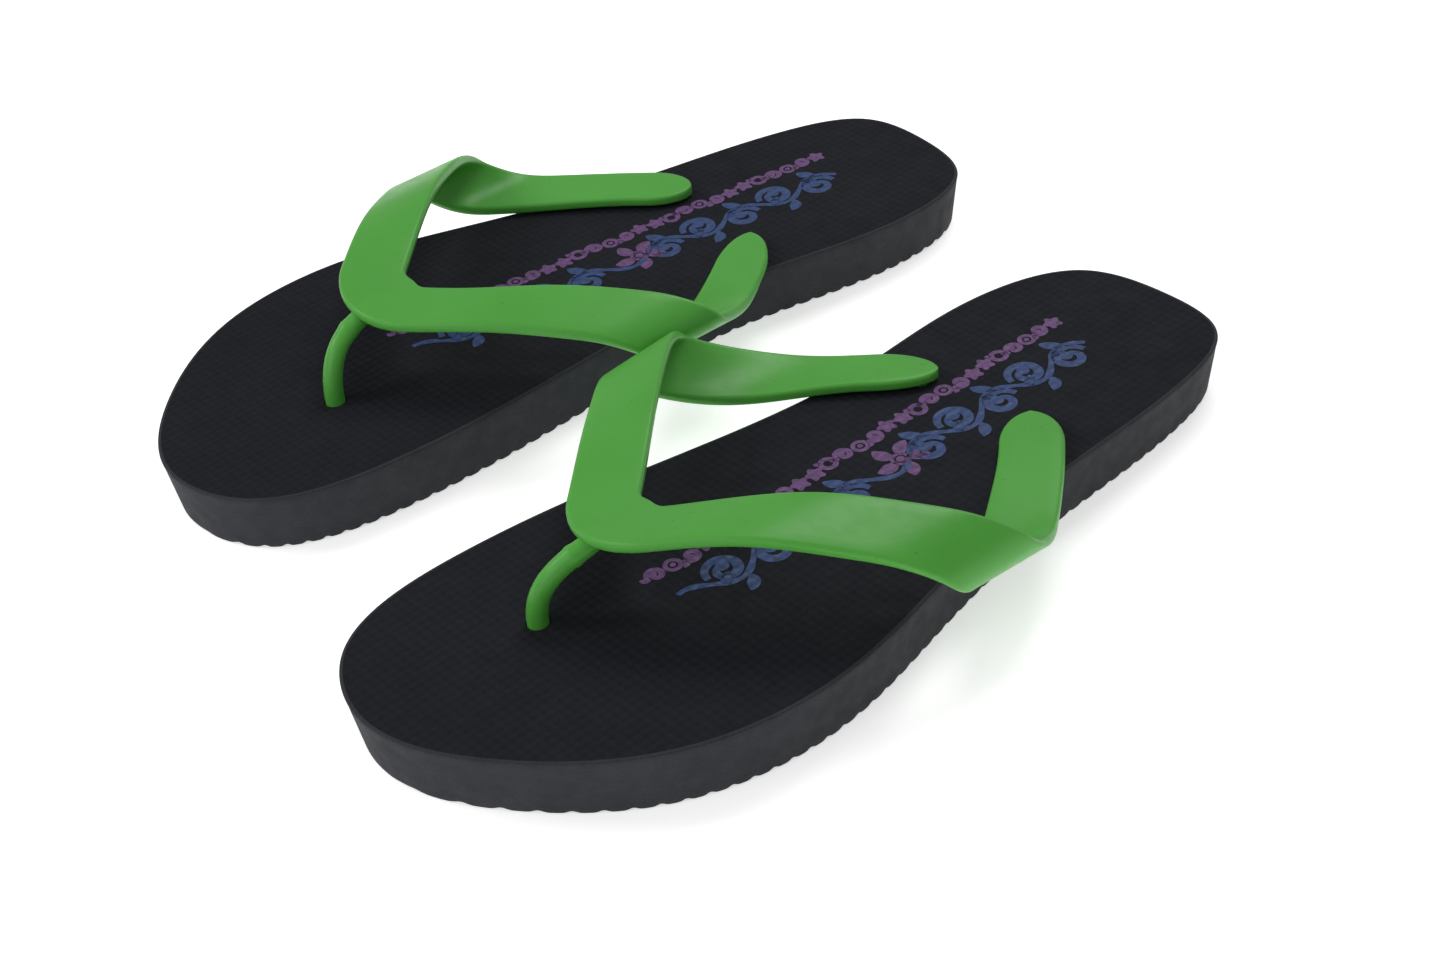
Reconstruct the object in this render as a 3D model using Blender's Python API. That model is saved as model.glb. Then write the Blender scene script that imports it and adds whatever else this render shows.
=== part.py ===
"""A pair of flip-flops: two foam soles, each with a one-piece moulded strap plugged into it.

Each sandal is drawn in its own frame, in millimetres: the middle of the heel's back edge at (0, 0, 0),
+X towards the inner side of the foot, +Y towards the toe and +Z up. The pair stands toes towards -Y, with the
left sandal at +X.
"""

import math

import bmesh
import bpy
import numpy as np
from mathutils import Matrix, Vector
from mathutils.geometry import interpolate_bezier

MM = 0.001

# Sole: a slab of foam, thicker under the ball of the foot.
SOLE_LENGTH = 253.0
HEEL_HALF_WIDTH = 35.0
HEEL_THICKNESS = 15.5
BALL_RISE = 1.8
WALL_INSET = 2.4
OUTLINE_POINTS = 96
FOOTBED_STRIPS = 12
# The outline's own points, from the heel's back round the outer side to the toe and back on the inner side.
OUTLINE = (
    (-1.5, 0.0),
    (-24.0, 5.4),
    (-HEEL_HALF_WIDTH + 0.6, 30.0),
    (-38.5, 80.0),
    (-46.5, 127.0),
    (-55.0, 172.0),
    (-47.0, 210.0),
    (-20.0, 240.0),
    (14.0, SOLE_LENGTH),
    (38.5, 242.0),
    (48.0, 200.0),
    (42.5, 156.0),
    (32.8, 86.0),
    (HEEL_HALF_WIDTH - 0.6, 30.0),
    (23.0, 5.4),
)

# Strap: a flat strip with a bend in its middle, rolled over at both sides.
STRAP_WIDTH = 17.6
STRAP_THICKNESS = 3.0
STRAP_EDGE = 1.3
STRAP_EDGE_HALF_THICKNESS = 0.7
STRAP_MIDDLE = (4.9, 183.6)
STRAP_TURN = math.radians(-3.2)
LEAN_SPAN = 100.0
CROWN_HEIGHT = 37.5
# The flat strip's heading, in degrees back from straight out, at distances along its middle.
HEADINGS = ((0.0, 0.0), (12.1, 43.2), (86.5, 43.2), (111.5, 49.0), (136.5, 46.5), (166.5, 37.0))
# The strip is wider towards the heel at its bend, which rounds the notch there.
NOTCH_FILL = 1.7
NOTCH_SPAN = 14.0
# Each tongue narrows by a share of its width over its last part, and ends in a half ellipse, the tip.
TAPER_SPAN = 52.0
OUTER_TAPER = 0.08
INNER_TAPER = 0.17
OUTER_TIP = 13.0
INNER_TIP = 18.0
BEND_ROWS = 9
ARM_ROWS = 38
TIP_ANGLES = (20.0, 40.0, 58.0, 72.0, 82.0)
FINE_STEPS = 400
# Each arm's run seen from the toe: distance out from the strap's middle, and height, as far as the roll's
# underside.
OUTER_RUN = (
    (0.0, CROWN_HEIGHT),
    (16.0, 40.6),
    (31.5, 42.4),
    (47.3, 39.3),
    (56.6, 35.5),
    (61.5, 28.6),
    (56.6, 21.2),
)
INNER_RUN = (
    (0.0, CROWN_HEIGHT),
    (16.0, 36.8),
    (32.0, 37.6),
    (47.5, 36.2),
    (56.0, 33.6),
    (59.8, 29.4),
    (56.0, 25.0),
)
RIGHT_OUTER_RUN = (
    (0.0, CROWN_HEIGHT),
    (16.0, 40.2),
    (31.5, 41.3),
    (46.0, 37.8),
    (54.8, 33.8),
    (59.6, 27.8),
    (55.5, 21.2),
)
OUTER_TONGUE_RUN = (46.0, 25.0, -20.0)
INNER_TONGUE_RUN = (41.0, 25.0, -20.0)
# The roll's axis turns away from the strap's own by the skew, and the lean lowers an arm's front edge half
# way out.
OUTER_SKEW = math.radians(1.5)
INNER_SKEW = math.radians(1.7)
OUTER_LEAN = -0.06
INNER_LEAN = -0.2
# Lengths of the outer and the inner arm: each strap is pulled through its sole a little differently.
LEFT_LENGTHS = (166.5, 161.5)
RIGHT_LENGTHS = (162.0, 155.5)
TONGUE_PLACE = 92.0
TONGUE_GAP = 0.8
STEM_INSET = 5.0

# Toe post: it leaves the strap's underside near the front corner and curves down into the sole.
TOE_HOLE = (12.0, 204.5)
POST_RADIUS = 2.65
POST_RINGS = 13
POST_ROOT = (0.8, 3.4, -1.9)
POST_PULL = (1.2, 15.0, -3.6)
POST_RISE = 11.0
# The post grows from a rounded end inside the strap: its first rings are this share of its radius.
POST_ROOT_TAPER = (0.45, 0.85, 1.0)

# Plugs: a round stem through the sole with a disc in a pocket under it.
STEM_RADIUS = 3.2
HOLE_CLEARANCE = 0.35
DISC_RADIUS = 7.0
DISC_THICKNESS = 2.6
DISC_RECESS = 0.8
POCKET_CLEARANCE = 0.5
ROUND_SIDES = 24
CUT_MARGIN = 1.0

# The right sandal's heel seen from the left one's, and how far its toe turns out.
RIGHT_HEEL = (-110.0, 21.0)
RIGHT_TURN = math.radians(-8.5)

SMOOTH_ANGLE = math.radians(35.0)


def clear_scene():
    for item in list(bpy.data.objects):
        bpy.data.objects.remove(item, do_unlink=True)


def finish(name, color, roughness):
    """A plastic material of one colour."""
    material = bpy.data.materials.new(name)
    material.use_nodes = True
    shader = material.node_tree.nodes["Principled BSDF"]
    shader.inputs["Base Color"].default_value = (*color, 1.0)
    shader.inputs["Roughness"].default_value = roughness
    shader.inputs["Metallic"].default_value = 0.0
    return material


def spline(points, count, closed):
    """Points at even steps along a smooth curve through the given points, closed or with free ends."""
    knots = np.array(points, float)
    if closed:
        knots = np.vstack([knots, knots[:1]])
    chords = np.linalg.norm(np.diff(knots, axis=0), axis=1)
    at = np.concatenate([[0.0], np.cumsum(chords)])
    last = len(knots) - 1
    system = np.zeros((last + 1, last + 1))
    right = np.zeros((last + 1, knots.shape[1]))
    slopes = np.diff(knots, axis=0) / chords[:, None]
    for i in range(1, last):
        system[i, i - 1 : i + 2] = chords[i - 1], 2 * (chords[i - 1] + chords[i]), chords[i]
        right[i] = 6 * (slopes[i] - slopes[i - 1])
    if closed:
        system[0, 0], system[0, 1], system[0, last - 1] = 2 * (chords[0] + chords[-1]), chords[0], chords[-1]
        right[0] = 6 * (slopes[0] - slopes[-1])
        system[last, last], system[last, 0] = 1.0, -1.0
    else:
        system[0, 0] = system[last, last] = 1.0
    bends = np.linalg.solve(system, right)

    def value(t):
        i = min(max(int(np.searchsorted(at, t, side="right")) - 1, 0), last - 1)
        h, a, b = chords[i], at[i + 1] - t, t - at[i]
        cubic = (bends[i] * a**3 + bends[i + 1] * b**3) / (6 * h)
        return cubic + (knots[i] / h - bends[i] * h / 6) * a + (knots[i + 1] / h - bends[i + 1] * h / 6) * b

    fine = np.array([value(t) for t in np.linspace(0.0, at[-1], 40 * last)])
    run = np.concatenate([[0.0], np.cumsum(np.linalg.norm(np.diff(fine, axis=0), axis=1))])
    steps = np.linspace(0.0, run[-1], count, endpoint=not closed)
    return np.array([np.interp(steps, run, fine[:, k]) for k in range(fine.shape[1])]).T


def footbed_height(y):
    return HEEL_THICKNESS + BALL_RISE * math.sin(math.pi * y / (1.3 * SOLE_LENGTH))


def object_from(mesh_data, name, side):
    """A mesh object from a bmesh in a sandal's own frame; side is 1 for a left and -1 for a right one."""
    bmesh.ops.scale(mesh_data, vec=(-side * MM, -MM, MM), verts=mesh_data.verts)
    if side < 0:
        bmesh.ops.reverse_faces(mesh_data, faces=mesh_data.faces)
    bmesh.ops.recalc_face_normals(mesh_data, faces=mesh_data.faces)
    mesh = bpy.data.meshes.new(name)
    mesh_data.to_mesh(mesh)
    mesh_data.free()
    item = bpy.data.objects.new(name, mesh)
    bpy.context.scene.collection.objects.link(item)
    return item


def cylinder(mesh_data, centre, radius, low, high):
    """An upright round bar between two heights."""
    made = bmesh.ops.create_cone(
        mesh_data, cap_ends=True, segments=ROUND_SIDES, radius1=radius, radius2=radius, depth=high - low
    )
    bmesh.ops.translate(mesh_data, verts=made["verts"], vec=(centre[0], centre[1], (low + high) / 2))


def add_boolean(target, tool, operation):
    tool.hide_render = True
    tool.display_type = "WIRE"
    step = target.modifiers.new(tool.name, "BOOLEAN")
    step.operation = operation
    step.solver = "EXACT"
    step.object = tool


def sole_slab():
    """The slab before its holes: walls that lean in towards the ground and a gently curved footbed."""
    rim = spline(OUTLINE, OUTLINE_POINTS, closed=True)
    ahead = np.roll(rim, -1, axis=0) - np.roll(rim, 1, axis=0)
    inward = np.stack([-ahead[:, 1], ahead[:, 0]], axis=1) / np.linalg.norm(ahead, axis=1)[:, None]
    if (inward * (rim.mean(axis=0) - rim)).sum() < 0:
        inward = -inward
    foot = rim + WALL_INSET * inward
    data = bmesh.new()
    top = [data.verts.new((x, y, 1.0)) for x, y in rim]
    bottom = [data.verts.new((x, y, 0.0)) for x, y in foot]
    data.faces.new(top)
    data.faces.new(bottom[::-1])
    for i in range(len(top)):
        j = (i + 1) % len(top)
        data.faces.new((top[j], top[i], bottom[i], bottom[j]))
    for i in range(1, FOOTBED_STRIPS):
        cut = Vector((0.0, SOLE_LENGTH * i / FOOTBED_STRIPS, 0.0))
        footbed = [face for face in data.faces if all(v.co.z > 0.5 for v in face.verts)]
        edges = {edge for face in footbed for edge in face.edges}
        shapes = [*footbed, *edges]
        bmesh.ops.bisect_plane(data, geom=shapes, plane_co=cut, plane_no=(0.0, 1.0, 0.0), dist=1e-4)
    for vertex in data.verts:
        if vertex.co.z > 0.5:
            vertex.co.z = footbed_height(vertex.co.y)
    return data


def stem_centres(side):
    """Where the two side stems stand: outer side first."""
    return [tuple(arm.point(arm.length - STEM_INSET, 0.0, 0.0))[:2] for arm in arms(side)]


def make_sole(name, side, material):
    sole = object_from(sole_slab(), name, side)
    holes = bmesh.new()
    pocket_top = DISC_RECESS + DISC_THICKNESS + POCKET_CLEARANCE
    sizes = [(TOE_HOLE, POST_RADIUS), *((centre, STEM_RADIUS) for centre in stem_centres(side))]
    pockets = bmesh.new()
    for centre, radius in sizes:
        cylinder(holes, centre, radius + HOLE_CLEARANCE, -CUT_MARGIN, HEEL_THICKNESS + BALL_RISE + CUT_MARGIN)
        cylinder(pockets, centre, DISC_RADIUS + POCKET_CLEARANCE, -CUT_MARGIN, pocket_top)
    add_boolean(sole, object_from(pockets, name + "_pockets", side), "DIFFERENCE")
    add_boolean(sole, object_from(holes, name + "_holes", side), "DIFFERENCE")
    sole.data.materials.append(material)
    return sole


def tongue_height():
    return footbed_height(TONGUE_PLACE) + TONGUE_GAP + STRAP_THICKNESS / 2


def strap_frame(x, y, z):
    """From the strap's own axes to the sandal's."""
    return Matrix.Rotation(STRAP_TURN, 4, "Z") @ Vector((x, y, z)) + Vector((*STRAP_MIDDLE, 0.0))


class Arm:
    """One arm of the strap: half of the flat strip, bent to follow a run."""

    def __init__(self, hand, length, run, beyond, tongue_run, skew, lean, taper, tip):
        self.hand = hand
        self.skew = skew
        self.lean = lean
        self.length = length
        self.taper = taper
        self.tip = tip
        self.distance = np.linspace(0.0, length, FINE_STEPS)
        self.heading = np.radians(np.interp(self.distance, *zip(*HEADINGS)))
        step = length / (FINE_STEPS - 1)
        mean = (self.heading[1:] + self.heading[:-1]) / 2
        self.out = step * np.concatenate([[0.0], np.cumsum(np.cos(mean))])
        self.forward = -step * np.concatenate([[0.0], np.cumsum(np.sin(mean))])
        points = [(-run[1][0], beyond), *run, *((x, tongue_height()) for x in tongue_run)]
        self.run = spline(points, FINE_STEPS, closed=False)
        lengths = np.linalg.norm(np.diff(self.run, axis=0), axis=1)
        self.run_length = np.concatenate([[0.0], np.cumsum(lengths)])
        outmost = int(self.run[:, 0].argmax())
        self.run_length -= np.interp(0.0, self.run[:outmost, 0], self.run_length[:outmost])
        self.slope = np.unwrap(np.arctan2(*np.gradient(self.run, axis=0).T[::-1]))

    def point(self, distance, across, off):
        """A point of the strap: along the strip's middle, across it to the front and off its middle layer."""
        strip = (self.heading, self.out, self.forward)
        heading, out, forward = (np.interp(distance, self.distance, values) for values in strip)
        u = out + across * math.sin(heading)
        y = forward + across * math.cos(heading)
        along_axis = y * math.cos(self.skew) - u * math.sin(self.skew)
        from_axis = u * math.cos(self.skew) + y * math.sin(self.skew)
        x, z, slope = (np.interp(from_axis, self.run_length, values) for values in (*self.run.T, self.slope))
        x -= off * math.sin(slope)
        lean = self.lean * math.sin(math.pi * min(max(u / LEAN_SPAN, 0.0), 1.0)) * across * math.cos(heading)
        z += off * math.cos(slope) + lean
        across_axis = x * math.cos(self.skew) - along_axis * math.sin(self.skew)
        along_strap = x * math.sin(self.skew) + along_axis * math.cos(self.skew)
        return strap_frame(self.hand * across_axis, along_strap, z)

    def half_width(self, distance):
        share = min(max((distance + TAPER_SPAN - self.length) / (TAPER_SPAN - self.tip), 0.0), 1.0)
        return STRAP_WIDTH / 2 * (1 - self.taper * share * share * (3 - 2 * share))

    def rows(self):
        """Distances along the arm with the half width at each, close together in the rounded tip."""
        start = self.length - self.tip
        places = [*np.linspace(0.0, NOTCH_SPAN, BEND_ROWS)[:-1], *np.linspace(NOTCH_SPAN, start, ARM_ROWS)]
        rows = [(distance, self.half_width(distance)) for distance in places]
        for angle in np.radians(TIP_ANGLES):
            rows.append((start + self.tip * math.sin(angle), self.half_width(start) * math.cos(angle)))
        return rows


def arms(side):
    """The two arms of a left (1) or a right (-1) sandal's strap, outer side first."""
    outer_length, inner_length = LEFT_LENGTHS if side > 0 else RIGHT_LENGTHS
    outer_run = OUTER_RUN if side > 0 else RIGHT_OUTER_RUN
    outer_rise, inner_rise = outer_run[1][1], INNER_RUN[1][1]
    outer = (outer_run, inner_rise, OUTER_TONGUE_RUN, OUTER_SKEW, OUTER_LEAN, OUTER_TAPER, OUTER_TIP)
    inner = (INNER_RUN, outer_rise, INNER_TONGUE_RUN, INNER_SKEW, INNER_LEAN, INNER_TAPER, INNER_TIP)
    return Arm(-1, outer_length, *outer), Arm(1, inner_length, *inner)


def strap_sheet(side):
    """The strip itself, from one tongue over the middle to the other."""
    data = bmesh.new()
    rings = []
    outer, inner = arms(side)
    for arm, rows in ((outer, outer.rows()[::-1]), (inner, inner.rows()[1:])):
        for distance, half in rows:
            edge = min(STRAP_EDGE, half / 2)
            fill = NOTCH_FILL * (1 + math.cos(math.pi * min(distance / NOTCH_SPAN, 1.0))) / 2
            thick = STRAP_THICKNESS / 2
            section = [(half, STRAP_EDGE_HALF_THICKNESS), (half - edge, thick), (0.0, thick)]
            section += [(-w - fill, h) for w, h in section[1::-1]]
            section += [(w, -h) for w, h in section[::-1]]
            rings.append([data.verts.new(arm.point(distance, w, h)) for w, h in section])
    for first, second in zip(rings, rings[1:]):
        for i in range(len(first)):
            j = (i + 1) % len(first)
            data.faces.new((first[i], first[j], second[j], second[i]))
    data.faces.new(rings[0])
    data.faces.new(rings[-1][::-1])
    return data


def toe_post(side, name):
    """The round post: out under the strap's front edge, over in a curve and down through the sole."""
    x, y, down_by = POST_ROOT
    start = strap_frame(x, y, CROWN_HEIGHT + down_by)
    x, y, down_by = POST_PULL
    pull = strap_frame(x, y, CROWN_HEIGHT + down_by)
    mouth = Vector((*TOE_HOLE, footbed_height(TOE_HOLE[1])))
    over = mouth + Vector((0.0, 0.0, POST_RISE))
    curve = interpolate_bezier(start, pull, over, mouth, POST_RINGS)
    curve.append(Vector((*TOE_HOLE, DISC_RECESS + DISC_THICKNESS / 2)))
    data = bmesh.new()
    rings = []
    for i, centre in enumerate(curve):
        ahead = (curve[min(i + 1, len(curve) - 1)] - curve[max(i - 1, 0)]).normalized()
        if i >= len(curve) - 2:
            ahead = Vector((0.0, 0.0, -1.0))
        across = ahead.cross(Vector((1.0, 0.0, 0.0))).normalized()
        third = ahead.cross(across)
        radius = POST_RADIUS * POST_ROOT_TAPER[min(i, len(POST_ROOT_TAPER) - 1)]
        angles = [2 * math.pi * k / ROUND_SIDES for k in range(ROUND_SIDES)]
        spots = [centre + radius * (math.cos(a) * across + math.sin(a) * third) for a in angles]
        rings.append([data.verts.new(spot) for spot in spots])
    for first, second in zip(rings, rings[1:]):
        for i in range(ROUND_SIDES):
            j = (i + 1) % ROUND_SIDES
            data.faces.new((first[i], first[j], second[j], second[i]))
    data.faces.new(rings[0])
    data.faces.new(rings[-1][::-1])
    return object_from(data, name, side)


def make_strap(name, side, material):
    strap = object_from(strap_sheet(side), name, side)
    add_boolean(strap, toe_post(side, name + "_post"), "UNION")
    stems = bmesh.new()
    discs = bmesh.new()
    for centre in stem_centres(side):
        cylinder(stems, centre, STEM_RADIUS, DISC_RECESS + DISC_THICKNESS / 2, tongue_height())
    for centre in (TOE_HOLE, *stem_centres(side)):
        cylinder(discs, centre, DISC_RADIUS, DISC_RECESS, DISC_RECESS + DISC_THICKNESS)
    add_boolean(strap, object_from(stems, name + "_stems", side), "UNION")
    add_boolean(strap, object_from(discs, name + "_discs", side), "UNION")
    strap.data.materials.append(material)
    return strap


def smooth(item):
    item.data.shade_smooth()
    item.data.set_sharp_from_angle(angle=SMOOTH_ANGLE)


def stand(name, heel, turn, pieces):
    """Puts a sandal's pieces on an empty at its heel."""
    place = bpy.data.objects.new(name, None)
    bpy.context.scene.collection.objects.link(place)
    place.location = (heel[0] * MM, heel[1] * MM, 0.0)
    place.rotation_euler = (0.0, 0.0, turn)
    for item in pieces:
        item.parent = place
    return place


def centre_pair(places, pieces):
    """Moves both sandals so that the pair's box is centred on the origin."""
    bpy.context.view_layer.update()
    points = [item.matrix_world @ vertex.co for item in pieces for vertex in item.data.vertices]
    for axis in (0, 1):
        values = [point[axis] for point in points]
        middle = (min(values) + max(values)) / 2
        for place in places:
            place.location[axis] -= middle
    bpy.context.view_layer.update()


def main():
    clear_scene()
    foam = finish("black_foam", (0.018, 0.019, 0.021), 0.85)
    vinyl = finish("green_vinyl", (0.07, 0.33, 0.05), 0.35)
    places, pieces = [], []
    for label, side, heel, turn in (("left", 1, (0.0, 0.0), 0.0), ("right", -1, RIGHT_HEEL, RIGHT_TURN)):
        sole = make_sole(label + "_sole", side, foam)
        strap = make_strap(label + "_strap", side, vinyl)
        smooth(sole)
        smooth(strap)
        helpers = [step.object for item in (sole, strap) for step in item.modifiers]
        places.append(stand(label + "_sandal", heel, turn, [sole, strap, *helpers]))
        pieces += [sole, strap]
    centre_pair(places, pieces)


main()
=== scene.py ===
import math

import bmesh
import bpy
import numpy as np
from mathutils import Matrix, Vector
from mathutils.geometry import interpolate_bezier


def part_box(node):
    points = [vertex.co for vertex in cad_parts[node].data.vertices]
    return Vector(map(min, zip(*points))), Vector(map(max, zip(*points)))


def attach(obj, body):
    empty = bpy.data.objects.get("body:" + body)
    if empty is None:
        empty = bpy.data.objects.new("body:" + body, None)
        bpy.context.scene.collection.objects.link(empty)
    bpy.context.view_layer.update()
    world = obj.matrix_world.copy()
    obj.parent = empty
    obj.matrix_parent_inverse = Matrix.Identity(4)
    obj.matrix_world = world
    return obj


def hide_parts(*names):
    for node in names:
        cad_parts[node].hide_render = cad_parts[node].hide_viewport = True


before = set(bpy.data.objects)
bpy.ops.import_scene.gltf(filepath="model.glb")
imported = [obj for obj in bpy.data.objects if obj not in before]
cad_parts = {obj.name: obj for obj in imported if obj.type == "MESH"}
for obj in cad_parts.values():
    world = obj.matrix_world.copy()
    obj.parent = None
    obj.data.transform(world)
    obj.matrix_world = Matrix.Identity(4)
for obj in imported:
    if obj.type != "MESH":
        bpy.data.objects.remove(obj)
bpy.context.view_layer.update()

MM = 0.001

# The sandal's own frame, in millimetres.
# The heel's back edge is at the origin, +X is the inner side and +Y the toe.

# Sole: its outline starts at the heel's back and goes round the outer side to the toe.
SOLE_LENGTH = 253.0
HEEL_THICKNESS = 15.5
BALL_RISE = 1.8
WALL_INSET = 2.4
OUTLINE = (
    (-1.5, 0.0),
    (-24.0, 5.4),
    (-34.4, 30.0),
    (-38.5, 80.0),
    (-46.5, 127.0),
    (-55.0, 172.0),
    (-47.0, 210.0),
    (-20.0, 240.0),
    (14.0, SOLE_LENGTH),
    (38.5, 242.0),
    (48.0, 200.0),
    (42.5, 156.0),
    (32.8, 86.0),
    (34.4, 30.0),
    (23.0, 5.4),
)
SOLE_ROWS = 560
SOLE_COLUMNS = 26
OUTLINE_STEPS = 6000
# The rim's rings as (amount inside the outline, depth under the footbed).
RIM_RINGS = ((0.9, 0.0), (0.5, 0.02), (0.22, 0.1), (0.06, 0.28), (0.0, 0.6))
# The wall's rings, as shares of its height.
WALL_RINGS = (0.12, 0.3, 0.5, 0.7, 0.86, 0.94)
GROOVE_PITCH = 5.2
GROOVE_DEPTH = 0.6
# The outsole's edge rings as (amount inside the wall's foot, height over the grooves).
FOOT_RINGS = ((0.15, 0.12), (0.6, 0.0))
SOLE_SMOOTH_ANGLE = math.radians(38.0)

# Strap: a flat strip with a bend in its middle, rolled over at both sides.
STRAP_HALF_WIDTH = 8.8
STRAP_THICKNESS = 3.0
STRAP_EDGE = 1.2
STRAP_EDGE_HALF_THICKNESS = 0.5
STRAP_MIDDLE = (4.9, 183.6)
STRAP_TURN = math.radians(-3.2)
LEAN_SPAN = 100.0
CROWN_HEIGHT = 37.5
# The flat strip's heading, in degrees back from straight out, at distances along its middle.
HEADINGS = ((0.0, 0.0), (12.1, 43.2), (86.5, 43.2), (111.5, 49.0), (136.5, 46.5), (166.5, 37.0))
NOTCH_FILL = 1.7
NOTCH_SPAN = 14.0
# Each tongue narrows by a share of its width over its last part, and ends in a half ellipse, the tip.
TAPER_SPAN = 52.0
OUTER_TAPER = 0.08
INNER_TAPER = 0.17
OUTER_TIP = 13.0
INNER_TIP = 18.0
NOTCH_ROWS = 30
ARM_ROWS = 150
TIP_ROWS = 26
STRIP_STEPS = 800
RUN_STEPS = 1000
# Each arm's run seen from the toe, down to the roll's underside, as (distance from the middle, height).
OUTER_RUN = (
    (0.0, CROWN_HEIGHT),
    (16.0, 40.6),
    (31.5, 42.4),
    (47.3, 39.3),
    (56.6, 35.5),
    (60.9, 28.8),
    (56.6, 21.2),
)
INNER_RUN = (
    (0.0, CROWN_HEIGHT),
    (16.0, 36.8),
    (32.0, 37.6),
    (47.5, 36.2),
    (56.0, 33.6),
    (59.8, 29.4),
    (56.0, 25.0),
)
RIGHT_OUTER_RUN = (
    (0.0, CROWN_HEIGHT),
    (16.0, 40.2),
    (31.5, 41.3),
    (46.0, 37.8),
    (54.8, 33.8),
    (59.6, 27.8),
    (55.5, 21.2),
)
# Where the runs go on under the rolls, along the tongues, as distances from the middle.
OUTER_TONGUE_RUN = (46.0, 25.0, 9.0, -20.0)
INNER_TONGUE_RUN = (41.0, 25.0, 8.0, -20.0)
# Past SETTLE_FROM the tongue settles onto the footbed.
SETTLE_FROM = 25.0
SETTLE_SLOPE = 0.024
# The roll's axis is turned by the skew. The lean lowers an arm's front edge half way out.
OUTER_SKEW = math.radians(1.5)
INNER_SKEW = math.radians(1.7)
OUTER_LEAN = -0.06
INNER_LEAN = -0.2
LEFT_LENGTHS = (166.5, 161.5)
RIGHT_LENGTHS = (162.0, 155.5)
TONGUE_PLACE = 92.0
TONGUE_GAP = 0.8
STEM_INSET = 5.0

# Toe post: it grows from a rounded end inside the strap, and curves down into the sole.
TOE_HOLE = (12.0, 204.5)
POST_RADIUS = 2.65
# The curve's first two control points, from the strap's middle at the height of its crown.
POST_ROOT = (0.8, 3.4, -1.9)
POST_PULL = (1.2, 15.0, -3.6)
POST_RISE = 11.0
POST_RINGS = 48
POST_SIDES = 32
ROOT_RINGS = 8.0
ROOT_SHARE = 0.3
COLLAR_RING = 12.5
COLLAR_RINGS = 1.6
COLLAR_RISE = 0.10

# Plugs: a round stem through the sole with a disc in a pocket under it.
STEM_RADIUS = 3.2
NECK_CUT = 0.9
HOLE_CLEARANCE = 0.35
DISC_RADIUS = 7.0
DISC_THICKNESS = 2.6
DISC_RECESS = 0.8
POCKET_CLEARANCE = 0.5
MOUTH_CLEARANCE = 0.1
ROUND_SIDES = 40
PLUG_SMOOTH_ANGLE = math.radians(50.0)

# Ornament: a blue vine along the footbed with a purple flower on it, and a row of purple beads beside it.
INK = 0.07
INK_SMOOTH_ANGLE = math.radians(40.0)
# It drifts to the outer side from DRIFT_FROM on, and the right sandal's is mirrored and shifted.
ORNAMENT_DRIFT = -0.04
DRIFT_FROM = 30.0
ORNAMENT_SHIFT = 3.0
VINE_X = -2.6
VINE_FROM = 33.0
VINE_TO = 176.0
VINE_SWING = 3.6
VINE_WAVE = 27.0
VINE_STEPS = 260
LAST_CURL = 172.0
FLOWER = (-2.0, 103.0)
FLOWER_ROOM = 8.0
PETALS = 5
BEADS = 28
BEAD_X = 10.2
BEAD_FROM = 31.5
BEAD_SPACING = 5.3

# The right sandal's heel seen from the left one's, and how far its toe turns out.
RIGHT_HEEL = (-110.0, 21.0)
RIGHT_TURN = math.radians(-8.5)

# Camera: its place from the left heel in millimetres, and its forward and right directions.
CAMERA_PLACE = (381.7, -446.4, 376.7)
CAMERA_FORWARD = (-0.6495, 0.4943, -0.5778)
CAMERA_RIGHT = (0.6562, 0.7483, -0.0974)
CAMERA_LENS = 62.706
SENSOR_WIDTH = 36.0


def spline(points, count, closed):
    """Points at even steps along a smooth curve through the given points, closed or with free ends."""
    knots = np.array(points, float)
    if closed:
        knots = np.vstack([knots, knots[:1]])
    chords = np.linalg.norm(np.diff(knots, axis=0), axis=1)
    at = np.concatenate([[0.0], np.cumsum(chords)])
    last = len(knots) - 1
    system = np.zeros((last + 1, last + 1))
    right = np.zeros((last + 1, knots.shape[1]))
    slopes = np.diff(knots, axis=0) / chords[:, None]
    for i in range(1, last):
        system[i, i - 1 : i + 2] = chords[i - 1], 2 * (chords[i - 1] + chords[i]), chords[i]
        right[i] = 6 * (slopes[i] - slopes[i - 1])
    if closed:
        system[0, 0], system[0, 1], system[0, last - 1] = 2 * (chords[0] + chords[-1]), chords[0], chords[-1]
        right[0] = 6 * (slopes[0] - slopes[-1])
        system[last, last], system[last, 0] = 1.0, -1.0
    else:
        system[0, 0] = system[last, last] = 1.0
    bends = np.linalg.solve(system, right)
    t = np.linspace(0.0, at[-1], 60 * last)
    i = np.clip(np.searchsorted(at, t, side="right") - 1, 0, last - 1)
    h, a, b = chords[i][:, None], (at[i + 1] - t)[:, None], (t - at[i])[:, None]
    fine = (bends[i] * a**3 + bends[i + 1] * b**3) / (6 * h)
    fine += (knots[i] / h - bends[i] * h / 6) * a + (knots[i + 1] / h - bends[i + 1] * h / 6) * b
    run = np.concatenate([[0.0], np.cumsum(np.linalg.norm(np.diff(fine, axis=0), axis=1))])
    steps = np.linspace(0.0, run[-1], count, endpoint=not closed)
    return np.array([np.interp(steps, run, fine[:, k]) for k in range(fine.shape[1])]).T


def footbed_height(y):
    return HEEL_THICKNESS + BALL_RISE * np.sin(np.pi * np.asarray(y) / (1.3 * SOLE_LENGTH))


def tongue_height():
    return float(footbed_height(TONGUE_PLACE)) + TONGUE_GAP + STRAP_THICKNESS / 2


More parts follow.
